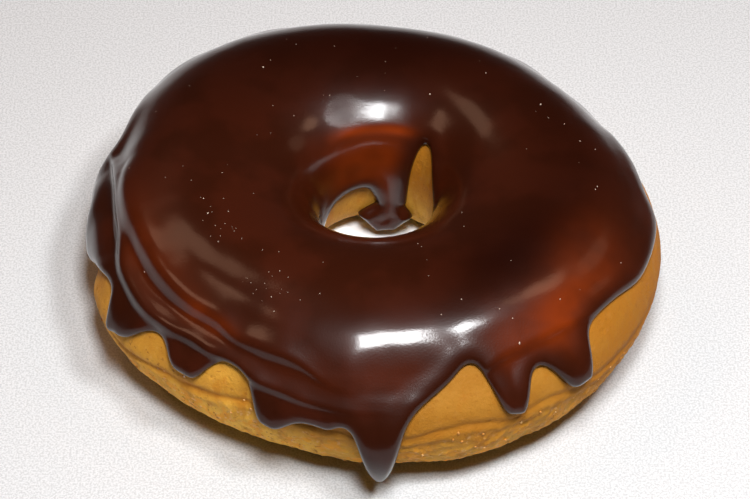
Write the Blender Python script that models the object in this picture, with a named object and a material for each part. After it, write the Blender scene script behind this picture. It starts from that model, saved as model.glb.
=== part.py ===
"""A ring doughnut under a poured coat of dark icing.

The ring is a rounded section swept round a hole that lies a little off centre,
and slow waves and soft shoulders make it uneven. The dough is the ring itself,
with a crease round its side and a crumbly band below the crease. The icing is
one thin closed skin over the top, the side and the hole's wall. Its two lower
edges are worked out from tables of drips, and folds run along its side.

Lengths are in millimetres and angles in degrees up to the last step, which
turns the points into metres. An angle runs anticlockwise from +X. A turn runs
round the ring's section: 0 at the widest line, 90 at the top, 180 in the hole.
"""

import math

import bpy
import numpy as np
from mathutils import Vector, kdtree, noise
from mathutils.geometry import delaunay_2d_cdt

MM = 0.001

# The ring's size and section
OUTER_RADIUS = 47.5
HOLE_RADIUS = 9.9
HOLE_SHIFT = (1.1, 2.6)
HEIGHT = 29.4
WIDEST_HEIGHT = 13.6
TOP_SQUARENESS = 2.09
BASE_SQUARENESS = 2.54
HOLE_BASE_SQUARENESS = 3.2
FOOT_SINK = 0.3
RING_CENTRE = (-0.45, 2.32)

# Waves round the ring: how many, how high in millimetres, and the angle of a crest
OUTLINE_WAVES = ((2, 2.13, -31), (3, 0.25, -5), (4, 0.41, 28), (5, 0.39, -15), (6, 0.16, 1))
HOLE_WAVES = ((2, 0.46, 51),)

# Where the section is fuller or flatter: the angle, half width, turn and half width in turn,
# and how far the form moves out there
SHOULDERS = (
    (262, 95, 39, 24, -0.8),
    (292, 32, 39, 24, -0.35),
    (257, 18, 39, 24, 0.6),
    (108, 62, 150, 22, 0.6),
    (3, 26, 18, 32, 0.4),
    (31, 24, 20, 30, -0.55),
    (118, 20, 20, 30, -0.5),
    (183, 20, 5, 22, -0.7),
    (178, 26, 36, 14, -1.2),
)

# The dough. The crease's line is given by points of angle and height along it.
CREASE = (
    (0, 13.0), (70, 13.5), (140, 13.0), (190, 11.5), (208, 10.4), (224, 12.6), (235, 13.6), (244, 15.0),
    (262, 14.2), (279, 13.6), (287, 14.9), (299, 14.0), (306, 14.6), (313, 13.6), (330, 12.6), (360, 13.0),
)
CREASE_DEPTH = 0.75
CREASE_WIDTH = 1.4
BAND_SWELL = 0.5
BAND_FOOT = (0.3, 3.0)
BAND_TOP = (17.0, 12.0)
BAND_BULGE = (203.0, 20.0, 0.45)
CRUMB_DEPTH = 0.8
CRUMB_SIZE = 5.5
CRUMB_FOOT = (0.4, 2.0)
CRUMB_BELOW_CREASE = (0.5, 2.5)

# The icing
COAT = 1.0
GAP = 0.35
RIM_RADIUS = 1.3
BEAD = 0.32
BEAD_WIDTH = 1.8
DRIP_SWELL = 0.4
DRIP_SWELL_HEIGHTS = (24.0, 16.0)
FRONT_SWELL = (270.0, 75.0, 0.3)
FRONT_SWELL_HEIGHTS = (22.5, 15.0)
OUTER_EDGE_HEIGHT = 22.4
HOLE_EDGE_HEIGHT = 12.2

# The dough lies deeper where it is iced, and full depth is reached over these heights. The
# icing runs lower on one side of the ring, the half round its own middle angle.
LOW_SIDE_MIDDLE = 103.0
LOW_SIDE_DEEPENS = (3.0, 12.0)
OTHER_SIDE_DEEPENS = (13.0, 24.0)
HOLE_DEEPENS = (2.0, 9.0)

# A drip is its angle, how far it runs down, its half width towards smaller and towards
# larger angles, and the squareness of its end. One that runs up is a bare bay.
OUTER_DRIPS = (
    (24.0, 4.0, 4.0, 4.5, 3.0),
    (38.0, 9.0, 3.0, 4.0, 3.0),
    (60.0, 4.5, 5.0, 4.0, 2.6),
    (80.0, 8.0, 2.6, 3.0, 3.2),
    (103.0, 5.5, 5.0, 3.5, 3.0),
    (124.0, 10.0, 3.0, 3.4, 3.2),
    (143.0, 4.0, 5.0, 5.0, 2.4),
    (168.0, 7.0, 4.0, 5.5, 3.2),
    (184.4, 8.6, 5.8, 9.3, 2.6),
    (206.9, 5.3, 1.6, 2.6, 2.6),
    (212.2, 5.5, 3.2, 3.9, 2.3),
    (229.6, 5.4, 5.4, 3.6, 4.0),
    (248.7, 6.3, 2.9, 4.9, 3.2),
    (261.2, 5.0, 8.8, 3.7, 2.1),
    (272.1, 11.2, 4.5, 3.3, 4.2),
    (273.3, 5.5, 6.1, 5.9, 2.1),
    (292.2, -2.9, 4.9, 4.9, 2.3),
    (297.9, 7.7, 2.5, 3.6, 3.4),
    (314.7, 7.3, 4.4, 2.5, 3.5),
    (349.0, 2.4, 13.4, 7.0, 5.9),
)
HOLE_DRIPS = (
    (52.3, -11.4, 4.0, 1.3, 2.0),
    (73.5, 11.3, 2.6, 2.6, 5.0),
    (197.0, 9.0, 6.2, 7.5, 4.0),
    (290.0, 5.0, 1.8, 2.2, 3.0),
    (330.0, -2.5, 2.5, 2.0, 2.4),
)
# The drip in the hole ends in a lobe that is wider than its neck and leans to one side
LOBE_ANGLE = 76.0
LOBE_REACH = 45.0
LOBE_SWELL = 1.6
LOBE_LEAN = 5.5
LOBE_TOP = 8.0
LOBE_WIDEST = 4.6
LOBE_TIP = 1.6
LOBE_ROUNDNESS = 85.0

# Where the icing hangs off the dough: the angle, the half width of that stretch, and how
# nearly its face drops straight down from the widest line
OUTER_HANG = (271.5, 7.5, 0.75)
HOLE_HANG = (78.0, 50.0, 0.92)

# Fat drips: angle, half width, height, half height and swell
LUMPS = ((272.0, 6.0, 12.0, 6.5, 1.6), (177.0, 13.0, 16.0, 3.5, 0.75))

# A fold is the edge of a later coat: points of angle, height and step along it. The icing
# stands proud above the fold's line by a share of the step, and is sunk by the rest below it.
FOLD_LIP = 0.15
FOLD_WIDTH = (0.3, 0.55)
FOLD_RISE = 0.6
LEDGE_ABOVE = 2.5
LEDGE_BELOW = 4.0
FOLDS = (
    ((172, 25.4, 0.0), (182, 25.4, 1.0), (192, 25.4, 1.3), (206, 25.3, 1.3), (214, 24.8, 1.2),
     (225, 24.4, 1.0), (232, 24.4, 0.9), (238, 23.6, 0.8), (245, 23.5, 0.8), (251, 23.5, 0.7),
     (256, 23.0, 0.4), (260, 21.9, 0.2), (268, 21.0, 0.0)),
    ((163, 19.6, 0.0), (169, 21.4, 0.7), (176, 23.0, 1.2), (186, 23.4, 1.2), (196, 22.9, 1.2),
     (204, 21.7, 1.1), (212, 20.7, 1.1), (220, 20.6, 1.1), (230, 20.9, 0.9), (238, 20.6, 0.8),
     (246, 19.7, 0.7), (256, 18.9, 0.5), (266, 18.6, 0.15), (276, 18.8, 0.0)),
    ((284, 20.5, 0.0), (291, 22.0, 0.2), (297, 23.3, 0.35), (303, 23.6, 0.4), (311, 23.5, 0.4),
     (318, 23.1, 0.25), (326, 22.2, 0.0)),
)
HOLE_FOLD = (
    (38, 23.0, 0.0), (62, 23.4, 0.2), (90, 23.2, 0.2), (106, 22.9, 0.2), (116, 22.4, 0.15), (132, 21.5, 0.0),
)

# How finely the solids are faceted
DOUGH_COLUMNS = 96
DOUGH_ROWS = ((-103, -77, 2), (-77, -50, 2), (-50, 24, 14), (24, 150, 7), (150, 257, 6))
OUTER_EDGE_SPACING = 1.7
HOLE_EDGE_SPACING = 0.8
SKIN_SPACING = 3.2
LINING_SPACING = 4.6
RIM_ROWS = (0.25, 0.6, 1.0)
LEAST_SHIFT = 0.8
EDGE_SAMPLES = 7200
EDGE_SAMPLE_SPACING = 0.3
SECTION_SAMPLES = 3000
FOLD_ROW_SPACING = 0.8 * SKIN_SPACING
FOLD_CLEARANCE = 0.5
EDGE_CLEARANCE = 0.45


def smoothstep(low, high, value):
    x = np.clip((value - low) / (high - low), 0.0, 1.0)
    return x * x * (3.0 - 2.0 * x)


def window(angle, place, half_width):
    """1 near an angle in degrees, fading to 0 at a half width from it."""
    offset = np.abs((np.degrees(angle) - place + 180) % 360 - 180)
    return smoothstep(half_width, 0.4 * half_width, offset)


def waves(angle, table):
    return sum(size * np.cos(count * (angle - math.radians(crest))) for count, size, crest in table)


def section(turn):
    """How far across the ring from the hole's wall (0) to the outside (1), and the height."""
    rise = np.sin(turn)
    run = np.cos(turn)
    base_squareness = np.where(run > 0, BASE_SQUARENESS, HOLE_BASE_SQUARENESS)
    squareness = np.where(rise > 0, TOP_SQUARENESS, base_squareness)
    half_height = np.where(rise > 0, HEIGHT - WIDEST_HEIGHT, WIDEST_HEIGHT + FOOT_SINK)
    across = 0.5 + 0.5 * np.sign(run) * np.abs(run) ** (2 / squareness)
    height = WIDEST_HEIGHT + half_height * np.sign(rise) * np.abs(rise) ** (2 / squareness)
    return across, np.maximum(height, 0.0)


def turn_at(height, in_hole):
    """The turn at which the section has this height, on its outer side or in the hole."""
    above = np.clip((height - WIDEST_HEIGHT) / (HEIGHT - WIDEST_HEIGHT), 0.0, 1.0)
    below = np.clip((WIDEST_HEIGHT - height) / (WIDEST_HEIGHT + FOOT_SINK), 0.0, 1.0)
    base_squareness = HOLE_BASE_SQUARENESS if in_hole else BASE_SQUARENESS
    turn = np.arcsin(above ** (TOP_SQUARENESS / 2)) - np.arcsin(below ** (base_squareness / 2))
    return math.pi - turn if in_hole else turn


def form(angle, turn):
    """Points on the whole doughnut's smooth outer form."""
    across, height = section(turn)
    outer = OUTER_RADIUS + waves(angle, OUTLINE_WAVES)
    inner = HOLE_RADIUS + waves(angle, HOLE_WAVES)
    x = (HOLE_SHIFT[0] + inner * np.cos(angle)) * (1 - across) + outer * np.cos(angle) * across
    y = (HOLE_SHIFT[1] + inner * np.sin(angle)) * (1 - across) + outer * np.sin(angle) * across
    for place, half_width, at_turn, half_turn, push in SHOULDERS:
        lean = math.radians(at_turn)
        from_lean = (turn - lean) / math.radians(half_turn)
        push = push * window(angle, place, half_width) * np.exp(-(from_lean ** 2))
        x += push * math.cos(lean) * np.cos(angle)
        y += push * math.cos(lean) * np.sin(angle)
        height = height + push * math.sin(lean)
    return np.stack([x, y, height], axis=-1)


def form_normal(angle, turn):
    step = 1e-4
    along = form(angle + step, turn) - form(angle - step, turn)
    upward = form(angle, turn + step) - form(angle, turn - step)
    normal = np.cross(along, upward)
    return normal / np.linalg.norm(normal, axis=-1, keepdims=True)


def skin_depth(angle, turn):
    """How far the dough lies inside the form where it is iced; the bare band swells past it."""
    height = section(turn)[1]
    low_side = smoothstep(-0.1, 0.1, np.cos(angle - math.radians(LOW_SIDE_MIDDLE)))
    from_height, to_height = (other + low_side * (low - other)
                              for low, other in zip(LOW_SIDE_DEEPENS, OTHER_SIDE_DEEPENS))
    outside = smoothstep(from_height, to_height, height)
    swell = DRIP_SWELL * low_side * smoothstep(*DRIP_SWELL_HEIGHTS, height) * outside
    place, half_width, bulge = BAND_BULGE
    band = BAND_SWELL + bulge * window(angle, place, half_width)
    band *= smoothstep(*BAND_FOOT, height) * smoothstep(*BAND_TOP, height)
    in_hole = COAT * smoothstep(*HOLE_DEEPENS, height)
    return np.where(np.cos(turn) > 0, COAT * outside + swell - band, in_hole)


def smooth_dough(angle, turn, lift=0.0):
    """Points on the dough, or lifted off it: square to it, but level where it faces down."""
    normal = form_normal(angle, turn)
    outward = normal.copy()
    outward[..., 2] = np.maximum(outward[..., 2], 0.0)
    outward /= np.linalg.norm(outward, axis=-1, keepdims=True) + 1e-9
    sunk = form(angle, turn) - normal * skin_depth(angle, turn)[..., None]
    return sunk + outward * np.asarray(lift)[..., None]


def crag(points):
    """Smooth random relief from 0 to 1."""
    return np.array([0.5 + 0.5 * noise.noise(Vector(point) / CRUMB_SIZE) for point in points])


def dough_relief(angle, turn, points):
    """How deep the crease and the crumbly band are cut into the bare dough."""
    height = points[:, 2]
    crease = curve_through(*np.array(CREASE, float).T, np.degrees(angle) % 360)
    groove = CREASE_DEPTH * np.exp(-(((height - crease) / CREASE_WIDTH) ** 2))
    band = smoothstep(*CRUMB_FOOT, height) * smoothstep(*CRUMB_BELOW_CREASE, crease - height)
    crumb = CRUMB_DEPTH * band * crag(points)
    return np.where(np.cos(turn) > 0, groove + crumb, 0.0)


def edge_height(angle, level, drips, radius):
    """The height of an icing edge whose drips hang from a level line."""
    height = np.full_like(angle, level)
    for place, depth, narrower, wider, squareness in drips:
        offset = (angle - math.radians(place) + math.pi) % (2 * math.pi) - math.pi
        width = np.where(offset < 0, narrower, wider)
        height -= depth / (1 + np.abs(offset * radius / width) ** squareness)
    return height


def icing_edge(in_hole, spacing):
    """Angles and turns of evenly spaced points along one lower edge of the icing."""
    angle = np.linspace(0, 2 * math.pi, EDGE_SAMPLES, endpoint=False)
    if in_hole:
        height = edge_height(angle, HOLE_EDGE_HEIGHT, HOLE_DRIPS, HOLE_RADIUS)
        from_lobe = angle - math.radians(LOBE_ANGLE)
        near = np.abs(from_lobe) < math.radians(LOBE_REACH)
        bowl = np.minimum(LOBE_TIP + LOBE_ROUNDNESS * from_lobe ** 2, LOBE_TOP)
        height = np.maximum(height, near * bowl)
        lobe = near * smoothstep(LOBE_TOP, LOBE_WIDEST, height)
        angle = angle + lobe * (LOBE_SWELL * from_lobe + math.radians(LOBE_LEAN))
    else:
        height = edge_height(angle, OUTER_EDGE_HEIGHT, OUTER_DRIPS, OUTER_RADIUS)
    turn = turn_at(height, in_hole)
    points = smooth_dough(angle, turn)
    steps = np.linalg.norm(np.diff(points, axis=0, append=points[:1]), axis=1)
    length = np.concatenate([[0.0], np.cumsum(steps)])
    count = round(length[-1] / spacing)
    wanted = np.arange(count) * length[-1] / count
    angle = np.interp(wanted, length, np.append(angle, angle[0] + 2 * math.pi))
    return angle, np.interp(wanted, length, np.append(turn, turn[0]))


class Unrolled:
    """The ring's surface laid out flat, as an annulus that keeps its angles."""

    def __init__(self):
        self.turn = np.radians(np.linspace(-88, 268, SECTION_SAMPLES))
        across, height = section(self.turn)
        self.radius = HOLE_RADIUS + (OUTER_RADIUS - HOLE_RADIUS) * across
        step = np.hypot(np.diff(self.radius), np.diff(height))
        self.length = np.append(0.0, np.cumsum(step))
        middle = 0.5 * (self.radius[1:] + self.radius[:-1])
        self.flat = OUTER_RADIUS * np.exp(-np.append(0.0, np.cumsum(step / middle)))

    def lay_flat(self, angle, turn):
        flat = np.interp(turn, self.turn, self.flat)
        return np.stack([flat * np.cos(angle), flat * np.sin(angle)], axis=-1)

    def angle_and_turn(self, points):
        flat = np.hypot(points[:, 0], points[:, 1])
        turn = np.interp(-flat, -self.flat, self.turn)
        return np.arctan2(points[:, 1], points[:, 0]), turn

    def shift_left(self, loop, distance):
        """A loop moved to its left by a distance in millimetres of surface."""
        along = np.roll(loop, -1, axis=0) - np.roll(loop, 1, axis=0)
        left = np.stack([-along[:, 1], along[:, 0]], axis=-1)
        left /= np.linalg.norm(left, axis=1, keepdims=True)
        flat = np.hypot(loop[:, 0], loop[:, 1])
        scale = np.interp(-flat, -self.flat, self.radius / self.flat)
        return loop + left * (distance / scale)[:, None]

    def even_points(self, spacing):
        """Points spread evenly over the whole ring, in staggered rows."""
        row_count = round(self.length[-1] / (spacing * math.sqrt(0.75)))
        rows = []
        for row in range(1, row_count):
            turn = np.interp(row * self.length[-1] / row_count, self.length, self.turn)
            radius = np.interp(turn, self.turn, self.radius)
            count = max(8, round(2 * math.pi * radius / spacing))
            angle = (np.arange(count) + 0.5 * (row % 2)) * 2 * math.pi / count
            rows.append(self.lay_flat(angle, np.full(count, turn)))
        return np.concatenate(rows)


def curve_through(x, y, at):
    """A smooth curve through a few points, a cubic between each two."""
    slope = np.gradient(y, x)
    left = np.clip(np.searchsorted(x, at) - 1, 0, len(x) - 2)
    width = x[left + 1] - x[left]
    t = np.clip((at - x[left]) / width, 0.0, 1.0)
    value = y[left] * (1 + 2 * t) * (1 - t) ** 2 + y[left + 1] * t * t * (3 - 2 * t)
    return value + width * (slope[left] * t * (1 - t) ** 2 - slope[left + 1] * t * t * (1 - t))


def fold_line(fold, degrees):
    """A fold's height, step and half width at each of these angles."""
    places, heights, steps = np.array(fold, float).T
    step = np.interp(degrees, places, steps)
    return curve_through(places, heights, degrees), step, FOLD_WIDTH[0] + FOLD_WIDTH[1] * step


def fold_dip(fold, degrees, height):
    """How far the icing lies inside its coat at a fold: proud above its line, sunk below it."""
    line, step, half_width = fold_line(fold, degrees)
    below = (line - height) / half_width
    dip = smoothstep(-1, 1, below) * smoothstep(1 + LEDGE_BELOW / half_width, 1, below)
    rise = smoothstep(1, -1, below) * smoothstep(-1 - LEDGE_ABOVE / half_width, -1, below)
    lip = FOLD_LIP * np.exp(-((below + 1.5) ** 2))
    return step * ((1 - FOLD_RISE) * dip - FOLD_RISE * rise - lip)


def hang(angle, run_off, where):
    """How far the icing stands off the dough where it hangs free of the curve below."""
    place, half_width, share = where
    return window(angle, place, half_width) * share * run_off * (OUTER_RADIUS - HOLE_RADIUS)


def icing_lift(angle, turn, edge_distance):
    """How far the icing's face stands off the dough."""
    across, height = section(turn)
    degrees = np.degrees(angle) % 360
    outside = np.cos(turn) > 0
    outer_folds = sum(fold_dip(fold, degrees, height) for fold in FOLDS)
    lift = COAT - np.where(outside, outer_folds, fold_dip(HOLE_FOLD, degrees, height))
    place, half_width, swell = FRONT_SWELL
    swell = swell * window(angle, place, half_width) * smoothstep(*FRONT_SWELL_HEIGHTS, height)
    swell += DRIP_SWELL * smoothstep(*DRIP_SWELL_HEIGHTS, height)
    for place, half_width, lump_height, half_height, lump in LUMPS:
        along = ((degrees - place + 180) % 360 - 180) / half_width
        upward = (height - lump_height) / half_height
        swell += lump * np.exp(-(along ** 2) - upward ** 2)
    lift += np.where(outside, swell, 0.0)
    lift += BEAD * np.exp(-(((edge_distance - BEAD_WIDTH) / BEAD_WIDTH) ** 2))
    lift += np.where(turn < 0, hang(angle, 1 - across, OUTER_HANG), 0.0)
    lift += np.where(turn > math.pi, hang(angle, across, HOLE_HANG), 0.0)
    rim = np.sqrt(1 - (1 - np.clip(edge_distance / RIM_RADIUS, 0, 1)) ** 2)
    return GAP + (lift - GAP) * rim


def nearest_distance(points, others):
    tree = kdtree.KDTree(len(others))
    for index, other in enumerate(others):
        tree.insert(other, index)
    tree.balance()
    return np.array([tree.find(point)[2] for point in points])


def inside_loop(points, loop):
    inside = np.zeros(len(points), bool)
    for (x0, y0), (x1, y1) in zip(loop, np.roll(loop, -1, axis=0)):
        crosses = (y0 > points[:, 1]) != (y1 > points[:, 1])
        crossing = x0 + (points[:, 1] - y0) * (x1 - x0) / (y1 - y0 + 1e-12)
        inside ^= crosses & (points[:, 0] < crossing)
    return inside


def fold_rows(unrolled):
    """Two rows of points along each fold, above and below its step."""
    rows = []
    for in_hole, fold in [(False, fold) for fold in FOLDS] + [(True, HOLE_FOLD)]:
        radius = HOLE_RADIUS if in_hole else OUTER_RADIUS
        start, end = fold[0][0], fold[-1][0]
        count = round(math.radians(end - start) * radius / FOLD_ROW_SPACING)
        degrees = np.linspace(start, end, count)
        line, _, half_width = fold_line(fold, degrees)
        for side in (-1, 1):
            turn = turn_at(line + side * half_width, in_hole)
            rows.append(unrolled.lay_flat(np.radians(degrees), turn))
    return np.concatenate(rows)


def iced_sheet(unrolled, loops, edge, rim_rows, spacing, with_folds):
    """Triangles over the iced surface: the points of its two edges come first."""

    def keep(points, least):
        iced = inside_loop(points, loops[0]) & ~inside_loop(points, loops[1])
        points = points[iced]
        return points[nearest_distance(smooth_dough(*unrolled.angle_and_turn(points)), edge) > least]

    kept = [loops[0], loops[1]]
    for share in rim_rows:
        distance = share * RIM_RADIUS
        kept.append(keep(unrolled.shift_left(loops[0], distance), LEAST_SHIFT * distance))
        kept.append(keep(unrolled.shift_left(loops[1], -distance), LEAST_SHIFT * distance))
    clear = (max(rim_rows) * RIM_RADIUS if rim_rows else 0.0) + EDGE_CLEARANCE * spacing
    even = keep(unrolled.even_points(spacing), clear)
    if with_folds:
        folds = keep(fold_rows(unrolled), clear)
        kept.append(folds)
        on_folds = smooth_dough(*unrolled.angle_and_turn(folds))
        on_even = smooth_dough(*unrolled.angle_and_turn(even))
        even = even[nearest_distance(on_even, on_folds) > FOLD_CLEARANCE * spacing]
    kept.append(even)
    points = np.concatenate(kept)
    rings = []
    start = 0
    for loop in loops:
        ring = np.arange(len(loop)) + start
        rings += list(zip(ring.tolist(), np.roll(ring, -1).tolist()))
        start += len(loop)
    found = delaunay_2d_cdt([Vector(point) for point in points], rings, [], 0, 1e-7, True)
    input_index = np.array([originals[0] for originals in found[3]])
    triangles = input_index[np.array([face[:] for face in found[2]])]
    middles = points[triangles].mean(axis=1)
    iced = inside_loop(middles, loops[0]) & ~inside_loop(middles, loops[1])
    return points, triangles[iced]


def icing_mesh():
    """A skin of icing: its face and its lining share the points of its two edges."""
    unrolled = Unrolled()
    loops = [unrolled.lay_flat(*icing_edge(False, OUTER_EDGE_SPACING)),
             unrolled.lay_flat(*icing_edge(True, HOLE_EDGE_SPACING))]
    edge = np.concatenate([smooth_dough(*icing_edge(in_hole, EDGE_SAMPLE_SPACING))
                           for in_hole in (False, True)])
    face, face_triangles = iced_sheet(unrolled, loops, edge, RIM_ROWS, SKIN_SPACING, True)
    lining, lining_triangles = iced_sheet(unrolled, loops, edge, (), LINING_SPACING, False)
    shared = len(loops[0]) + len(loops[1])
    angle, turn = unrolled.angle_and_turn(face)
    edge_distance = nearest_distance(smooth_dough(angle, turn), edge)
    edge_distance[:shared] = 0.0
    face_points = smooth_dough(angle, turn, icing_lift(angle, turn, edge_distance))
    angle, turn = unrolled.angle_and_turn(lining[shared:])
    lining_points = smooth_dough(angle, turn, np.full(len(angle), GAP))
    renumbered = np.where(lining_triangles < shared, lining_triangles,
                          lining_triangles + len(face) - shared)
    points = np.concatenate([face_points, lining_points])
    triangles = np.concatenate([face_triangles, renumbered[:, ::-1]])
    return points, triangles


def dough_mesh():
    """The whole ring of dough, its crease and crumbly band cut into it."""
    turns = np.concatenate([np.linspace(start, end, rows, endpoint=False)
                            for start, end, rows in DOUGH_ROWS])
    columns = np.arange(DOUGH_COLUMNS) * 2 * math.pi / DOUGH_COLUMNS
    angle, turn = (grid.ravel() for grid in np.meshgrid(columns, np.radians(turns), indexing="ij"))
    points = smooth_dough(angle, turn)
    points -= form_normal(angle, turn) * dough_relief(angle, turn, points)[:, None]
    rows = len(turns)
    column, row = np.meshgrid(np.arange(DOUGH_COLUMNS), np.arange(rows), indexing="ij")
    after = (column + 1) % DOUGH_COLUMNS
    above = (row + 1) % rows
    corners = [column * rows + row, after * rows + row, after * rows + above, column * rows + above]
    return points, np.stack(corners, axis=-1).reshape(-1, 4)


def add_object(name, points, faces, material):
    mesh = bpy.data.meshes.new(name)
    in_metres = (points + [*RING_CENTRE, 0.0]) * MM
    mesh.from_pydata(in_metres.tolist(), [], faces.tolist())
    mesh.shade_smooth()
    mesh.materials.append(material)
    thing = bpy.data.objects.new(name, mesh)
    bpy.context.scene.collection.objects.link(thing)
    return thing


def add_material(name, colour, roughness):
    material = bpy.data.materials.new(name)
    material.use_nodes = True
    shader = material.node_tree.nodes["Principled BSDF"]
    shader.inputs["Base Color"].default_value = (*colour, 1.0)
    shader.inputs["Roughness"].default_value = roughness
    shader.inputs["Metallic"].default_value = 0.0
    return material


def main():
    for thing in list(bpy.data.objects):
        bpy.data.objects.remove(thing)
    dough_material = add_material("dough", (0.60, 0.31, 0.055), 0.7)
    icing_material = add_material("icing", (0.030, 0.008, 0.004), 0.15)
    add_object("dough", *dough_mesh(), dough_material)
    add_object("icing", *icing_mesh(), icing_material)


main()
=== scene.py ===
"""The looks of the iced ring doughnut: fine dough and icing, materials, crumbs, lights and camera.

Lengths are in millimetres and angles in degrees, up to where meshes and lamps are made, in metres.
An angle runs anticlockwise from +X round the ring. A turn runs round the ring's section: 0 outside,
90 on top, 180 in the hole.
"""

import math

import bmesh
import bpy
import numpy as np
from mathutils import Matrix, Vector, kdtree, noise
from mathutils.geometry import delaunay_2d_cdt


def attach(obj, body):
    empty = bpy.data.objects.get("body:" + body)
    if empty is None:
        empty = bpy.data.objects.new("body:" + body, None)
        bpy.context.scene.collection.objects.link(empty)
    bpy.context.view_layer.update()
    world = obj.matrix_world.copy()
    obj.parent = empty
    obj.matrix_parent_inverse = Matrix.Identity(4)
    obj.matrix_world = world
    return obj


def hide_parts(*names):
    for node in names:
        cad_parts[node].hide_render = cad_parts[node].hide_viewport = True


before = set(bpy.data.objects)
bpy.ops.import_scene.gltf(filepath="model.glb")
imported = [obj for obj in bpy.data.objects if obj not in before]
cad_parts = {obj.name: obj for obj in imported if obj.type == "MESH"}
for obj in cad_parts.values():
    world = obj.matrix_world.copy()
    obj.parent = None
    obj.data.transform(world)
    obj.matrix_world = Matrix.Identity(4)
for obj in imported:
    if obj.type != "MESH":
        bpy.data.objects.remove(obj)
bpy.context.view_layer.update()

MM = 0.001

# The ring's size and section, as in the solids
OUTER_RADIUS = 47.5
HOLE_RADIUS = 9.9
HOLE_SHIFT = (1.1, 2.6)
HEIGHT = 29.4
WIDEST_HEIGHT = 13.6
TOP_SQUARENESS = 2.09
BASE_SQUARENESS = 2.54
HOLE_BASE_SQUARENESS = 3.2
FOOT_SINK = 0.3
RING_CENTRE = (-0.45, 2.32)

OUTLINE_WAVES = ((2, 2.13, -31), (3, 0.25, -5), (4, 0.41, 28), (5, 0.39, -15), (6, 0.16, 1))
HOLE_WAVES = ((2, 0.46, 51),)

# Where the section is fuller or flatter: angle, half width, turn, its half width, how far it moves out
SHOULDERS = (
    (262, 95, 39, 24, -0.8),
    (292, 32, 39, 24, -0.35),
    (257, 18, 39, 24, 0.6),
    (108, 62, 150, 22, 0.6),
    (3, 26, 18, 32, 0.4),
    (31, 24, 20, 30, -0.55),
    (118, 20, 20, 30, -0.5),
    (183, 20, 5, 22, -0.7),
    (178, 26, 36, 14, -1.2),
    (312, 75, 58, 42, 0.6),
    (128, 70, 125, 30, 0.35),
)

# The dough's crease, as points of angle and height, and the crumbly band under it
CREASE = ((0, 13.0), (70, 13.5), (140, 13.0), (190, 11.5), (208, 10.4), (224, 12.6), (235, 13.6),
          (244, 15.0), (262, 14.2), (279, 13.6), (287, 14.9), (299, 14.0), (306, 14.6), (313, 13.6),
          (330, 12.6), (360, 13.0))
CREASE_DEPTH = 0.62
CREASE_WIDTH = 1.4
BAND_SWELL = 0.5
BAND_FOOT = (0.3, 3.0)
BAND_TOP = (17.0, 12.0)
BAND_BULGE = (203.0, 20.0, 0.45)
CRUMB_DEPTH = 0.8
CRUMB_SIZE = 5.5
CRUMB_FOOT = (0.4, 2.0)
CRUMB_BELOW_CREASE = (0.5, 2.5)
SMOOTHER_BAND = ((215, 40, 0.55),)

# The dough's finer relief, as depth and size
CREASE_WANDER = (0.35, 3.0)
COARSE_CRUMB = (0.42, 2.1)
FINE_CRUMB = (0.18, 0.9)
ROUGHNESS = (0.05, 1.4)
PORES = (0.12, 1.1)
PORES_OPEN = (0.42, 0.6)

# Where the dough's colour differs, and where light and shade are painted on it: angle, half width, how
# much
TOASTED = ((342, 38, 0.9), (213, 30, 0.4))
# Painted light: the left side of the dough is made paler, standing in for the light that falls on it
PAINTED_LIGHT_ON_LEFT = ((226, 38, 0.3),)
# Painted shade: the front has less of the pale colour, standing in for shade
LESS_PALE_FOR_PAINTED_SHADE = ((292, 45, 0.6),)
# Painted light: part of the hole's wall is made paler, standing in for light that falls on it
PAINTED_LIGHT_IN_HOLE = ((50, 50, 0.32),)
# Painted shade: the front and the right of the dough, and a side of the hole's wall, are darkened
PAINTED_SHADE = ((300, 75, 1.0),)
PAINTED_SHADE_IN_HOLE = ((120, 45, 0.6),)

# The heights between which it changes
TOASTED_HEIGHTS_IN_HOLE = (7.0, 17.0)
# The dough is paler low down: partly its own colour, partly painted light where it faces down
PALE_AND_PAINTED_LIGHT_HEIGHTS = (17.0, 8.0)
# Painted light: how much the hole's lower wall is lightened all round
LEAST_PAINTED_LIGHT_IN_HOLE = 0.08
# Painted shade: the heights over which it grows, and how much of it is left low down
PAINTED_SHADE_HEIGHTS = (7.0, 14.0)
PAINTED_SHADE_HEIGHTS_IN_HOLE = (11.0, 19.0)
LEAST_PAINTED_SHADE = 0.4

# The icing
COAT = 1.0
GAP = 0.35
RIM_RADIUS = 1.3
BEAD = 0.32
BEAD_WIDTH = 1.8
DRIP_SWELL = 0.4
DRIP_SWELL_HEIGHTS = (24.0, 16.0)
FRONT_SWELL = (270.0, 75.0, 0.3)
FRONT_SWELL_HEIGHTS = (22.5, 15.0)
OUTER_EDGE_HEIGHT = 22.4
HOLE_EDGE_HEIGHT = 12.2
LOW_SIDE_MIDDLE = 103.0
LOW_SIDE_DEEPENS = (3.0, 12.0)
OTHER_SIDE_DEEPENS = (13.0, 24.0)
HOLE_DEEPENS = (2.0, 9.0)

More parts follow.
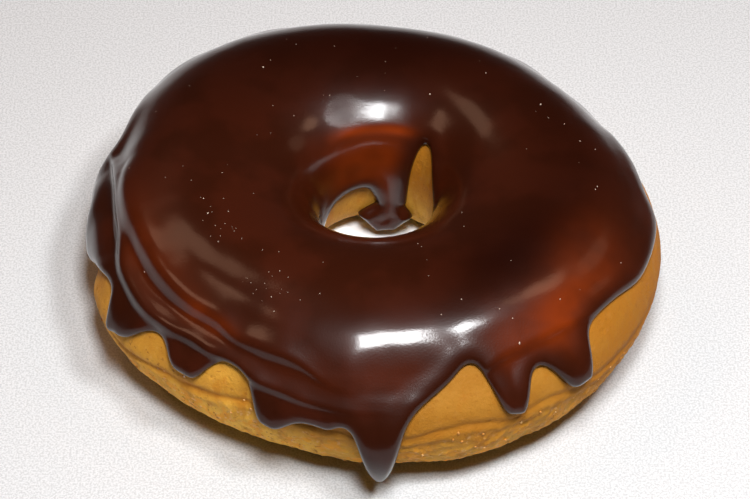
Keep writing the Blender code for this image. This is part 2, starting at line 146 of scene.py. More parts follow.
# Drips: angle, reach, half width towards smaller and larger angles, squareness of the end
OUTER_DRIPS = (
    (24.0, 4.0, 4.0, 4.5, 3.0),
    (38.0, 9.0, 3.0, 4.0, 3.0),
    (60.0, 4.5, 5.0, 4.0, 2.6),
    (80.0, 8.0, 2.6, 3.0, 3.2),
    (103.0, 5.5, 5.0, 3.5, 3.0),
    (124.0, 10.0, 3.0, 3.4, 3.2),
    (143.0, 4.0, 5.0, 5.0, 2.4),
    (168.0, 7.0, 4.0, 5.5, 3.2),
    (184.4, 8.6, 5.8, 9.3, 2.6),
    (206.9, 5.3, 1.6, 2.6, 2.6),
    (212.2, 5.5, 3.2, 3.9, 2.3),
    (229.6, 5.4, 5.4, 3.6, 4.0),
    (248.7, 6.3, 2.9, 4.9, 3.2),
    (261.2, 5.0, 8.8, 3.7, 2.1),
    (272.3, 11.2, 3.4, 2.6, 4.2),
    (273.3, 5.5, 6.1, 5.9, 2.1),
    (292.2, -2.9, 4.9, 4.9, 2.3),
    (297.9, 7.7, 2.6, 3.7, 4.2),
    (314.0, 7.3, 4.4, 3.0, 4.5),
    (349.0, 2.4, 13.4, 7.0, 5.9),
)
HOLE_DRIPS = (
    (52.3, -11.4, 4.0, 1.3, 2.0),
    (73.5, 11.3, 2.6, 2.6, 5.0),
    (197.0, 9.0, 6.2, 7.5, 4.0),
    (290.0, 5.0, 1.8, 2.2, 3.0),
    (330.0, -2.5, 2.5, 2.0, 2.4),
)

# The broad end of the drip in the hole
LOBE_ANGLE = 76.0
LOBE_REACH = 45.0
LOBE_SWELL = 1.8
LOBE_LEAN = 5.5
LOBE_TOP = 8.0
LOBE_WIDEST = 4.6
LOBE_TIP = 0.9
LOBE_ROUNDNESS = 64.0
LOBE_POINTEDNESS = 1.5

# Where drips hang free of the dough: angle, half width, how much
OUTER_HANG = (271.5, 7.5, 0.75)
HOLE_HANG = (78.0, 50.0, 0.84)

# Fat drips: angle, half width, height, half height and swell
LUMPS = (
    (272.0, 6.0, 11.5, 5.5, 1.3),
    (177.0, 13.0, 16.0, 3.5, 0.75),
)

# Folds, the edges of later coats: points of angle, height and step along each
FOLD_LIP = 0.15
FOLD_WIDTH = (0.3, 0.55)
FOLD_RISE = 0.6
LEDGE_ABOVE = 2.5
LEDGE_BELOW = 4.0
FOLDS = (
    ((172, 25.4, 0.0), (182, 25.4, 1.0), (192, 25.4, 1.3), (206, 25.3, 1.3), (214, 24.8, 1.2),
     (225, 24.4, 1.0), (232, 24.4, 0.9), (238, 23.6, 0.8), (245, 23.5, 0.8), (251, 23.5, 0.7),
     (256, 23.0, 0.4), (260, 21.9, 0.2), (268, 21.0, 0.0)),
    ((163, 19.6, 0.0), (169, 21.4, 0.7), (176, 23.0, 1.2), (186, 23.4, 1.2), (196, 22.9, 1.2),
     (204, 21.7, 1.1), (212, 20.7, 1.1), (220, 20.6, 1.1), (230, 20.9, 0.9), (238, 20.6, 0.8),
     (246, 19.7, 0.7), (256, 18.9, 0.5), (266, 18.6, 0.15), (276, 18.8, 0.0)),
    ((284, 20.5, 0.0), (291, 22.0, 0.2), (297, 23.3, 0.35), (303, 23.6, 0.4), (311, 23.5, 0.4),
     (318, 23.1, 0.25), (326, 22.2, 0.0)),
)
HOLE_FOLD = ((38, 23.0, 0.0), (62, 23.4, 0.12), (90, 23.2, 0.13), (106, 22.9, 0.1),
             (116, 22.4, 0.1), (132, 21.5, 0.0))

# The icing's finer relief, as height and size, and the wrinkles on its left
SWELL = (0.22, 17.0)
RIPPLE = (0.035, 3.6)
WRINKLE_HEIGHT = 0.07
WRINKLE_SIZE = (9.0, 1.5)
WRINKLED_SIDE = (250, 62)
WRINKLED_FROM = (16, 19)
WRINKLED_TO = (25, 22.5)

# How finely the meshes are made
ICING_SPACING = 0.5
EDGE_SPACING = 0.3
EDGE_DISTANCE_SPACING = 0.1
EDGE_SAMPLES = 14400
UNROLLED_TURNS = (-88, 268, 3000)
LINING_SPACING = 3.0
RIM_ROWS = (0.06, 0.14, 0.25, 0.4, 0.6, 0.8, 1.0)
DOUGH_COLUMNS = 960
DOUGH_ROWS = ((-103, -77, 4), (-77, -50, 16), (-50, 40, 84), (40, 130, 14), (130, 240, 56),
              (240, 257, 6))

# Where the icing is thin and looks redder: angle, half width, turn, half width, how much
THIN_PATCHES = (
    (316, 15, 44, 16, 0.7),
    (332, 12, 62, 14, 0.15),
    (85, 55, 172, 24, 0.65),
    (205, 18, 50, 14, 0.2),
    (229, 7, 43, 6, 0.5),
    (275, 26, 36, 12, 0.1),
)

# A thin line round the back of the hole: angle, half width, height, half height, how much
THIN_LINE = (88, 48, 23.2, 0.7, 0.6)

# Where the icing is thick and looks darker, and where its skin is grainy
DEEP_PATCHES = (
    (90, 65, 82, 48, 0.85),
    (350, 42, 75, 32, 0.5),
    (312, 25, 84, 22, 0.7),
)
GRAINY_PATCHES = (
    (111, 9, 130, 10, 0.55),
    (108, 16, 130, 15, 0.35),
)

# Sugar grains on the icing: angle, turn and radius
SUGAR = (
    (129, 89, 0.2), (125, 87, 0.16), (48, 86, 0.16), (26, 79, 0.22), (9, 71, 0.16), (352, 67, 0.18),
    (230, 9, 0.22), (187, 100, 0.12), (205, 87, 0.2), (211, 86, 0.15), (212, 90, 0.13),
    (216, 92, 0.12), (217, 81, 0.17), (207, 83, 0.13), (199, 31, 0.17), (208, 42, 0.16),
    (303, 43, 0.26), (61, 116, 0.17), (114, 120, 0.14), (250, 72, 0.12), (294, 74, 0.13),
    (302, 63, 0.12), (189, 86, 0.12),
)
SUGAR_SIZE = 0.75

# Finer grains: some anywhere on top, and groups of count, angle, its spread, turn, its spread
LOOSE_SUGAR = 50
LOOSE_SUGAR_TURNS = (40, 125)
SUGAR_GROUPS = ((14, 208, 9, 86, 6), (16, 239, 5, 74, 5))
FINE_SUGAR_RADII = (0.05, 0.10)

# Crumbs on the dough: angle, height and radius, and the range of the finer ones
CRUMBS = (
    (287, 14.0, 0.4), (286, 12.8, 0.35), (304, 13.1, 0.4), (308, 10.7, 0.35), (297, 8.8, 0.4),
    (212, 8.6, 0.35), (221, 12.3, 0.3), (223, 13.0, 0.35), (243, 15.2, 0.3), (245, 14.3, 0.4),
    (292, 12.6, 0.35), (300, 12.2, 0.4),
)
CRUMB_GRAIN_SIZE = 0.65
FINE_CRUMBS = 70
FINE_CRUMB_ANGLES = (200, 345)
FINE_CRUMB_HEIGHTS = (4.0, 12.5)
FINE_CRUMB_RADII = (0.1, 0.22)


def smoothstep(low, high, value):
    x = np.clip((value - low) / (high - low), 0.0, 1.0)
    return x * x * (3.0 - 2.0 * x)


def window(angle, place, half_width):
    """1 near an angle in degrees, fading to 0 at a half width from it."""
    offset = np.abs((np.degrees(angle) - place + 180) % 360 - 180)
    return smoothstep(half_width, 0.4 * half_width, offset)


def near_places(angle, places):
    return sum(share * window(angle, place, half_width) for place, half_width, share in places)


def waves(angle, table):
    return sum(size * np.cos(count * (angle - math.radians(crest))) for count, size, crest in table)


def section(turn):
    """How far across the ring from the hole's wall (0) to the outside (1), and the height."""
    rise = np.sin(turn)
    run = np.cos(turn)
    base_squareness = np.where(run > 0, BASE_SQUARENESS, HOLE_BASE_SQUARENESS)
    squareness = np.where(rise > 0, TOP_SQUARENESS, base_squareness)
    half_height = np.where(rise > 0, HEIGHT - WIDEST_HEIGHT, WIDEST_HEIGHT + FOOT_SINK)
    across = 0.5 + 0.5 * np.sign(run) * np.abs(run) ** (2 / squareness)
    height = WIDEST_HEIGHT + half_height * np.sign(rise) * np.abs(rise) ** (2 / squareness)
    return across, np.maximum(height, 0.0)


def turn_at(height, in_hole):
    above = np.clip((height - WIDEST_HEIGHT) / (HEIGHT - WIDEST_HEIGHT), 0.0, 1.0)
    below = np.clip((WIDEST_HEIGHT - height) / (WIDEST_HEIGHT + FOOT_SINK), 0.0, 1.0)
    base_squareness = HOLE_BASE_SQUARENESS if in_hole else BASE_SQUARENESS
    turn = np.arcsin(above ** (TOP_SQUARENESS / 2)) - np.arcsin(below ** (base_squareness / 2))
    return math.pi - turn if in_hole else turn


def form(angle, turn):
    """Points on the whole doughnut's smooth outer form."""
    across, height = section(turn)
    outer = OUTER_RADIUS + waves(angle, OUTLINE_WAVES)
    inner = HOLE_RADIUS + waves(angle, HOLE_WAVES)
    x = (HOLE_SHIFT[0] + inner * np.cos(angle)) * (1 - across) + outer * np.cos(angle) * across
    y = (HOLE_SHIFT[1] + inner * np.sin(angle)) * (1 - across) + outer * np.sin(angle) * across
    for place, half_width, at_turn, half_turn, push in SHOULDERS:
        lean = math.radians(at_turn)
        near_turn = np.exp(-(((turn - lean) / math.radians(half_turn)) ** 2))
        push = push * window(angle, place, half_width) * near_turn
        x += push * math.cos(lean) * np.cos(angle)
        y += push * math.cos(lean) * np.sin(angle)
        height = height + push * math.sin(lean)
    return np.stack([x, y, height], axis=-1)


def form_normal(angle, turn):
    step = 1e-4
    along = form(angle + step, turn) - form(angle - step, turn)
    upward = form(angle, turn + step) - form(angle, turn - step)
    normal = np.cross(along, upward)
    return normal / np.linalg.norm(normal, axis=-1, keepdims=True)


def skin_depth(angle, turn):
    """How far the dough lies inside the form where it is iced; the bare band swells past it."""
    height = section(turn)[1]
    low_side = smoothstep(-0.1, 0.1, np.cos(angle - math.radians(LOW_SIDE_MIDDLE)))
    from_height, to_height = (other + low_side * (low - other)
                              for low, other in zip(LOW_SIDE_DEEPENS, OTHER_SIDE_DEEPENS))
    outside = smoothstep(from_height, to_height, height)
    swell = DRIP_SWELL * low_side * smoothstep(*DRIP_SWELL_HEIGHTS, height) * outside
    place, half_width, bulge = BAND_BULGE
    band = BAND_SWELL + bulge * window(angle, place, half_width)
    band *= smoothstep(*BAND_FOOT, height) * smoothstep(*BAND_TOP, height)
    in_hole = COAT * smoothstep(*HOLE_DEEPENS, height)
    return np.where(np.cos(turn) > 0, COAT * outside + swell - band, in_hole)


def smooth_dough(angle, turn, lift=0.0):
    """Points on the dough, or lifted off it: square to it, but level where it faces down."""
    normal = form_normal(angle, turn)
    outward = normal.copy()
    outward[..., 2] = np.maximum(outward[..., 2], 0.0)
    outward /= np.linalg.norm(outward, axis=-1, keepdims=True) + 1e-9
    sunk = form(angle, turn) - normal * skin_depth(angle, turn)[..., None]
    return sunk + outward * np.asarray(lift)[..., None]


def noise_at(points, size, seed=0.0):
    """Smooth noise from -1 to 1 with lumps of about this size, or of a size for each axis."""
    shrunk = points / np.asarray(size, float) + [seed, 0.0, 0.0]
    return np.array([noise.noise(Vector(point)) for point in shrunk])


def relief_of(depth_and_size, points, seed):
    depth, size = depth_and_size
    return depth * noise_at(points, size, seed)


def edge_height(angle, level, drips, radius):
    height = np.full_like(angle, level)
    for place, depth, narrower, wider, squareness in drips:
        offset = (angle - math.radians(place) + math.pi) % (2 * math.pi) - math.pi
        width = np.where(offset < 0, narrower, wider)
        height -= depth / (1 + np.abs(offset * radius / width) ** squareness)
    return height


def icing_edge(in_hole, spacing):
    """Angles and turns of evenly spaced points along one lower edge of the icing."""
    angle = np.linspace(0, 2 * math.pi, EDGE_SAMPLES, endpoint=False)
    if in_hole:
        height = edge_height(angle, HOLE_EDGE_HEIGHT, HOLE_DRIPS, HOLE_RADIUS)
        from_lobe = angle - math.radians(LOBE_ANGLE)
        near = np.abs(from_lobe) < math.radians(LOBE_REACH)
        bowl = LOBE_TIP + LOBE_ROUNDNESS * np.abs(from_lobe) ** LOBE_POINTEDNESS
        bowl = np.minimum(bowl, LOBE_TOP)
        height = np.maximum(height, near * bowl)
        lobe = near * smoothstep(LOBE_TOP, LOBE_WIDEST, height)
        angle = angle + lobe * (LOBE_SWELL * from_lobe + math.radians(LOBE_LEAN))
    else:
        height = edge_height(angle, OUTER_EDGE_HEIGHT, OUTER_DRIPS, OUTER_RADIUS)
    turn = turn_at(height, in_hole)
    points = smooth_dough(angle, turn)
    steps = np.linalg.norm(np.diff(points, axis=0, append=points[:1]), axis=1)
    length = np.concatenate([[0.0], np.cumsum(steps)])
    count = round(length[-1] / spacing)
    wanted = np.arange(count) * length[-1] / count
    angle = np.interp(wanted, length, np.append(angle, angle[0] + 2 * math.pi))
    return angle, np.interp(wanted, length, np.append(turn, turn[0]))


class Unrolled:
    """The ring's surface laid out flat, as an annulus that keeps its angles."""

    def __init__(self):
        self.turn = np.radians(np.linspace(*UNROLLED_TURNS))
        across, height = section(self.turn)
        self.radius = HOLE_RADIUS + (OUTER_RADIUS - HOLE_RADIUS) * across
        step = np.hypot(np.diff(self.radius), np.diff(height))
        self.length = np.append(0.0, np.cumsum(step))
        middle = 0.5 * (self.radius[1:] + self.radius[:-1])
        self.flat = OUTER_RADIUS * np.exp(-np.append(0.0, np.cumsum(step / middle)))

    def lay_flat(self, angle, turn):
        flat = np.interp(turn, self.turn, self.flat)
        return np.stack([flat * np.cos(angle), flat * np.sin(angle)], axis=-1)

    def angle_and_turn(self, points):
        flat = np.hypot(points[:, 0], points[:, 1])
        turn = np.interp(-flat, -self.flat, self.turn)
        return np.arctan2(points[:, 1], points[:, 0]), turn

    def shift_left(self, loop, distance):
        """A loop moved to its left by a distance in millimetres of surface."""
        along = np.roll(loop, -1, axis=0) - np.roll(loop, 1, axis=0)
        left = np.stack([-along[:, 1], along[:, 0]], axis=-1)
        left /= np.linalg.norm(left, axis=1, keepdims=True)
        flat = np.hypot(loop[:, 0], loop[:, 1])
        scale = np.interp(-flat, -self.flat, self.radius / self.flat)
        return loop + left * (distance / scale)[:, None]

    def even_points(self, spacing):
        """Points spread evenly over the whole ring, in staggered rows."""
        row_count = round(self.length[-1] / (spacing * math.sqrt(0.75)))
        rows = []
        for row in range(1, row_count):
            turn = np.interp(row * self.length[-1] / row_count, self.length, self.turn)
            radius = np.interp(turn, self.turn, self.radius)
            count = max(8, round(2 * math.pi * radius / spacing))
            angle = (np.arange(count) + 0.5 * (row % 2)) * 2 * math.pi / count
            rows.append(self.lay_flat(angle, np.full(count, turn)))
        return np.concatenate(rows)


def curve_through(x, y, at):
    """A smooth curve through a few points, a cubic between each two."""
    slope = np.gradient(y, x)
    left = np.clip(np.searchsorted(x, at) - 1, 0, len(x) - 2)
    width = x[left + 1] - x[left]
    t = np.clip((at - x[left]) / width, 0.0, 1.0)
    value = y[left] * (1 + 2 * t) * (1 - t) ** 2 + y[left + 1] * t * t * (3 - 2 * t)
    return value + width * (slope[left] * t * (1 - t) ** 2 - slope[left + 1] * t * t * (1 - t))


def fold_dip(fold, degrees, height):
    """How far the icing lies inside its coat at a fold: proud above the fold's line, sunk below it."""
    places, heights, steps = np.array(fold, float).T
    step = np.interp(degrees, places, steps)
    half_width = FOLD_WIDTH[0] + FOLD_WIDTH[1] * step
    below = (curve_through(places, heights, degrees) - height) / half_width
    dip = smoothstep(-1, 1, below) * smoothstep(1 + LEDGE_BELOW / half_width, 1, below)
    rise = smoothstep(1, -1, below) * smoothstep(-1 - LEDGE_ABOVE / half_width, -1, below)
    lip = FOLD_LIP * np.exp(-((below + 1.5) ** 2))
    return step * ((1 - FOLD_RISE) * dip - FOLD_RISE * rise - lip)


def hang(angle, run_off, where):
    place, half_width, share = where
    return window(angle, place, half_width) * share * run_off * (OUTER_RADIUS - HOLE_RADIUS)


def icing_lift(angle, turn, edge_distance, points):
    """How far the icing's face stands off the dough."""
    across, height = section(turn)
    degrees = np.degrees(angle) % 360
    outside = np.cos(turn) > 0
    outer_folds = sum(fold_dip(fold, degrees, height) for fold in FOLDS)
    lift = COAT - np.where(outside, outer_folds, fold_dip(HOLE_FOLD, degrees, height))
    lift += np.where(outside, DRIP_SWELL * smoothstep(*DRIP_SWELL_HEIGHTS, height), 0.0)
    place, half_width, swell = FRONT_SWELL
    swell = swell * window(angle, place, half_width)
    lift += np.where(outside, swell * smoothstep(*FRONT_SWELL_HEIGHTS, height), 0.0)
    lift += BEAD * np.exp(-(((edge_distance - BEAD_WIDTH) / BEAD_WIDTH) ** 2))
    for place, half_width, lump_height, half_height, swell in LUMPS:
        along = ((degrees - place + 180) % 360 - 180) / half_width
        upward = (height - lump_height) / half_height
        lift += np.where(outside, swell * np.exp(-(along ** 2) - upward ** 2), 0.0)
    lift += np.where(turn < 0, hang(angle, 1 - across, OUTER_HANG), 0.0)
    lift += np.where(turn > math.pi, hang(angle, across, HOLE_HANG), 0.0)
    lift += relief_of(SWELL, points, 3.0) * smoothstep(1.0, 5.0, edge_distance)
    lift += relief_of(RIPPLE, points, 12.0) * smoothstep(0.5, 2.0, edge_distance)
    side = window(angle, *WRINKLED_SIDE) * outside
    side *= smoothstep(*WRINKLED_FROM, height) * smoothstep(*WRINKLED_TO, height)
    along = np.stack([degrees * 0.8, height, np.zeros_like(height)], axis=-1)
    lift += WRINKLE_HEIGHT * side * noise_at(along, (*WRINKLE_SIZE, 1.0), 8.0)
    rim = np.sqrt(1 - (1 - np.clip(edge_distance / RIM_RADIUS, 0, 1)) ** 2)
    return GAP + (lift - GAP) * rim


def nearest_distance(points, others):
    tree = kdtree.KDTree(len(others))
    for index, other in enumerate(others):
        tree.insert(other, index)
    tree.balance()
    return np.array([tree.find(point)[2] for point in points])


def inside_loop(points, loop):
    """Which points lie inside a closed loop, by the loop's crossings of each one's level."""
    inside = np.zeros(len(points), bool)
    order = np.argsort(points[:, 1])
    x, y = points[order].T
    hits = np.zeros(len(points), int)
    for (x0, y0), (x1, y1) in zip(loop, np.roll(loop, -1, axis=0)):
        low, high = np.searchsorted(y, [min(y0, y1), max(y0, y1)])
        if low < high:
            crossing = x0 + (y[low:high] - y0) * (x1 - x0) / (y1 - y0)
            hits[low:high] += x[low:high] < crossing
    inside[order] = hits % 2 == 1
    return inside


def iced_sheet(unrolled, loops, edge, rim_rows, spacing):
    """Triangles over the iced surface: the points of its two edges come first."""

    def keep(points, least):
        iced = inside_loop(points, loops[0]) & ~inside_loop(points, loops[1])
        points = points[iced]
        return points[nearest_distance(smooth_dough(*unrolled.angle_and_turn(points)), edge) > least]

    kept = [loops[0], loops[1]]
    for share in rim_rows:
        distance = share * RIM_RADIUS
        kept.append(keep(unrolled.shift_left(loops[0], distance), 0.8 * distance))
        kept.append(keep(unrolled.shift_left(loops[1], -distance), 0.8 * distance))
    clear = (max(rim_rows) * RIM_RADIUS if rim_rows else 0.0) + 0.45 * spacing
    kept.append(keep(unrolled.even_points(spacing), clear))
    points = np.concatenate(kept)
    rings = []
    start = 0
    for loop in loops:
        ring = np.arange(len(loop)) + start
        rings += list(zip(ring.tolist(), np.roll(ring, -1).tolist()))
        start += len(loop)
    found = delaunay_2d_cdt([Vector(point) for point in points], rings, [], 0, 1e-7, True)
    input_index = np.array([originals[0] for originals in found[3]])
    triangles = input_index[np.array([face[:] for face in found[2]])]
    middles = points[triangles].mean(axis=1)
    iced = inside_loop(middles, loops[0]) & ~inside_loop(middles, loops[1])
    return points, triangles[iced]


def patch(angle, turn, place, half_angle, at_turn, half_turn):
    """1 in the middle of a soft oval patch of the surface, fading to 0."""
    across = ((np.degrees(angle) - place + 180) % 360 - 180) / half_angle
    return np.exp(-(across ** 2) - ((np.degrees(turn) - at_turn) / half_turn) ** 2)


def patches(angle, turn, table):
    return sum(share * patch(angle, turn, *where) for *where, share in table)


def icing_mesh():
    """A skin of icing, with how thin, deep and grainy it is at each point."""
    unrolled = Unrolled()
    loops = [unrolled.lay_flat(*icing_edge(False, EDGE_SPACING)),
             unrolled.lay_flat(*icing_edge(True, EDGE_SPACING))]
    edge = np.concatenate([smooth_dough(*icing_edge(in_hole, EDGE_DISTANCE_SPACING))
                           for in_hole in (False, True)])
    face, face_triangles = iced_sheet(unrolled, loops, edge, RIM_ROWS, ICING_SPACING)
    lining, lining_triangles = iced_sheet(unrolled, loops, edge, (), LINING_SPACING)
    shared = len(loops[0]) + len(loops[1])
    angle, turn = unrolled.angle_and_turn(face)
    base = smooth_dough(angle, turn)
    edge_distance = nearest_distance(base, edge)
    edge_distance[:shared] = 0.0
    face_points = smooth_dough(angle, turn, icing_lift(angle, turn, edge_distance, base))
    height = section(turn)[1]
    place, half_width, line_height, half_height, share = THIN_LINE
    line = np.exp(-(((height - line_height) / half_height) ** 2)) * (np.cos(turn) < 0)
    thin = patches(angle, turn, THIN_PATCHES) + share * window(angle, place, half_width) * line
    thin *= smoothstep(0.5, 5.0, edge_distance)
    deep = patches(angle, turn, DEEP_PATCHES)
    grainy = patches(angle, turn, GRAINY_PATCHES)
    angle, turn = unrolled.angle_and_turn(lining[shared:])
    lining_points = smooth_dough(angle, turn, np.full(len(angle), GAP))
    renumbered = np.where(lining_triangles < shared, lining_triangles,
                          lining_triangles + len(face) - shared)
    points = np.concatenate([face_points, lining_points])
    triangles = np.concatenate([face_triangles, renumbered[:, ::-1]])
    hidden = np.zeros(len(lining_points))
    looks = {"thin": thin, "deep": deep, "grainy": grainy}
    return points, triangles, {name: np.append(values, hidden) for name, values in looks.items()}


def dough_relief(angle, turn, points):
    """How deep the crease and the crumbs are cut, and how far into the band and crease a point is."""
    height = points[:, 2]
    crease = curve_through(*np.array(CREASE, float).T, np.degrees(angle) % 360)
    wander = relief_of(CREASE_WANDER, points, 5.0)
    uneven = 0.75 + 0.45 * noise_at(points, 6.0, 6.0)
    cut = (height - crease - wander) / (0.55 * CREASE_WIDTH)
    groove = CREASE_DEPTH * uneven * np.exp(-(cut ** 2))
    groove += 0.25 * CREASE_DEPTH * np.exp(-(((height - crease) / (1.6 * CREASE_WIDTH)) ** 2))
    outside = np.cos(turn) > 0
    band = smoothstep(*CRUMB_FOOT, height) * outside
    band *= smoothstep(*CRUMB_BELOW_CREASE, crease - height + wander)
    crumb = CRUMB_DEPTH * (0.5 + 0.5 * noise_at(points, CRUMB_SIZE))
    crumb += np.abs(relief_of(COARSE_CRUMB, points, 2.0)) + relief_of(FINE_CRUMB, points, 4.0)
    depth, size = PORES
    pores = relief_of(ROUGHNESS, points, 7.0)
    pores += depth * smoothstep(*PORES_OPEN, noise_at(points, size, 9.0))
    groove = np.where(outside, groove, 0.0)
    crumb = np.maximum(crumb, -0.1) * (1 - near_places(angle, SMOOTHER_BAND))
    return groove + crumb * band + pores, band, np.clip(groove / CREASE_DEPTH, 0, 1)


def dough_tones(angle, turn, height):
    """How toasted the dough is, how pale with painted light, and how much painted shade it has."""
    outside = np.cos(turn) > 0
    toasted_in_hole = smoothstep(*TOASTED_HEIGHTS_IN_HOLE, height)
    toast = np.where(outside, near_places(angle, TOASTED), toasted_in_hole)
    # Paleness is partly the dough's own colour low down and partly painted light; on the front some is
    # taken away as painted shade
    pale_and_painted_light_outside = 1 - near_places(angle, LESS_PALE_FOR_PAINTED_SHADE)
    hole_painted_light = LEAST_PAINTED_LIGHT_IN_HOLE + near_places(angle, PAINTED_LIGHT_IN_HOLE)
    pale_and_painted_light = smoothstep(*PALE_AND_PAINTED_LIGHT_HEIGHTS, height) * np.where(outside, pale_and_painted_light_outside, hole_painted_light)
    pale_and_painted_light += near_places(angle, PAINTED_LIGHT_ON_LEFT) * outside
    # Painted shade: darkening that stands in for shade on the front, the right and the top of the
    # hole's wall
    hole_painted_shade = smoothstep(*PAINTED_SHADE_HEIGHTS_IN_HOLE, height)
    hole_painted_shade = np.maximum(hole_painted_shade, near_places(angle, PAINTED_SHADE_IN_HOLE))
    painted_shade = np.where(outside, near_places(angle, PAINTED_SHADE), hole_painted_shade)
    painted_shade *= LEAST_PAINTED_SHADE + (1 - LEAST_PAINTED_SHADE) * smoothstep(*PAINTED_SHADE_HEIGHTS, height)
    return {"toast": toast, "pale_and_painted_light": pale_and_painted_light, "painted_shade": painted_shade}


def dough_mesh():
    turns = np.concatenate([np.linspace(start, end, rows, endpoint=False)
                            for start, end, rows in DOUGH_ROWS])
    columns = np.arange(DOUGH_COLUMNS) * 2 * math.pi / DOUGH_COLUMNS
    angle, turn = (grid.ravel() for grid in np.meshgrid(columns, np.radians(turns), indexing="ij"))
    points = smooth_dough(angle, turn)
    relief, band, groove = dough_relief(angle, turn, points)
    points = points - form_normal(angle, turn) * relief[:, None]
    rows = len(turns)
    column, row = np.meshgrid(np.arange(DOUGH_COLUMNS), np.arange(rows), indexing="ij")
    after = (column + 1) % DOUGH_COLUMNS
    above = (row + 1) % rows
    corners = [column * rows + row, after * rows + row, after * rows + above, column * rows + above]
    looks = {"band": band, "groove": groove, **dough_tones(angle, turn, points[:, 2])}
    return points, np.stack(corners, axis=-1).reshape(-1, 4), looks


def add_mesh(name, points, faces, material, attributes=None):
    mesh = bpy.data.meshes.new(name)
    in_metres = (points + [*RING_CENTRE, 0.0]) * MM
    mesh.from_pydata(in_metres.tolist(), [], faces.tolist())
    mesh.shade_smooth()
    mesh.materials.append(material)
    for title, values in (attributes or {}).items():
        layer = mesh.attributes.new(title, "FLOAT", "POINT")
        layer.data.foreach_set("value", np.asarray(values, np.float32))
    thing = bpy.data.objects.new(name, mesh)
    bpy.context.scene.collection.objects.link(thing)
    return thing


def add_grains(name, points, normals, radii, material, seed):
    """Small uneven grains, each set into the surface by a third of its height."""
    chance = np.random.default_rng(seed)
    ball = bmesh.new()
    bmesh.ops.create_icosphere(ball, subdivisions=2, radius=1.0)
    corners = np.array([vertex.co[:] for vertex in ball.verts])
    faces = np.array([[vertex.index for vertex in face.verts] for face in ball.faces])
    ball.free()
    every_point = []
    every_face = []
    for index, (point, normal, radius) in enumerate(zip(points, normals, radii)):
        side = np.cross(normal, [0.3, 0.5, 0.8])
        side /= np.linalg.norm(side)
        ahead = np.cross(normal, side)
        turn = chance.uniform(0, 2 * math.pi)
        first = side * math.cos(turn) + ahead * math.sin(turn)
        second = np.cross(normal, first)
        lumps = corners * (1 + 0.35 * noise_at(corners + 9.0 * index, 0.8))[:, None]
        stretch = radius * np.array([chance.uniform(0.9, 1.5), chance.uniform(0.7, 1.0), 0.7])
        shape = lumps * stretch
        every_point.append(point + normal * 0.25 * radius + shape @ np.array([first, second, normal]))
        every_face.append(faces + index * len(corners))
    return add_mesh(name, np.concatenate(every_point), np.concatenate(every_face), material)


def add_sugar():
    chance = np.random.default_rng(5)
    degrees, turns, radii = np.array(SUGAR).T
    degrees = [degrees, chance.uniform(0, 360, LOOSE_SUGAR)]
    for count, place, spread, _, _ in SUGAR_GROUPS:
        degrees.append((place + spread * chance.standard_normal(count)) % 360)
    turns = [turns, chance.uniform(*LOOSE_SUGAR_TURNS, LOOSE_SUGAR)]
    for count, _, _, place, spread in SUGAR_GROUPS:
        turns.append(place + spread * chance.standard_normal(count))
    angle = np.radians(np.concatenate(degrees))
    turn = np.radians(np.concatenate(turns))
    fine = chance.uniform(*FINE_SUGAR_RADII, len(angle) - len(SUGAR))
    radii = np.concatenate([SUGAR_SIZE * radii, fine])
    base = smooth_dough(angle, turn)
    away_from_edges = np.full(len(angle), 20.0)
    points = smooth_dough(angle, turn, icing_lift(angle, turn, away_from_edges, base))
    return add_grains("sugar", points, form_normal(angle, turn), radii, sugar_material(), 6)


def add_crumbs():
    chance = np.random.default_rng(7)
    degrees, heights, radii = np.array(CRUMBS).T
    degrees = np.concatenate([degrees, chance.uniform(*FINE_CRUMB_ANGLES, FINE_CRUMBS)])
    heights = np.concatenate([heights, chance.uniform(*FINE_CRUMB_HEIGHTS, FINE_CRUMBS)])
    fine = chance.uniform(*FINE_CRUMB_RADII, FINE_CRUMBS)
    radii = np.concatenate([CRUMB_GRAIN_SIZE * radii, fine])
    angle, turn = np.radians(degrees), turn_at(heights, False)
    points = smooth_dough(angle, turn)
    relief = dough_relief(angle, turn, points)[0]
    points = points - form_normal(angle, turn) * relief[:, None]
    return add_grains("crumbs", points, form_normal(angle, turn), radii, crumb_material(), 8)


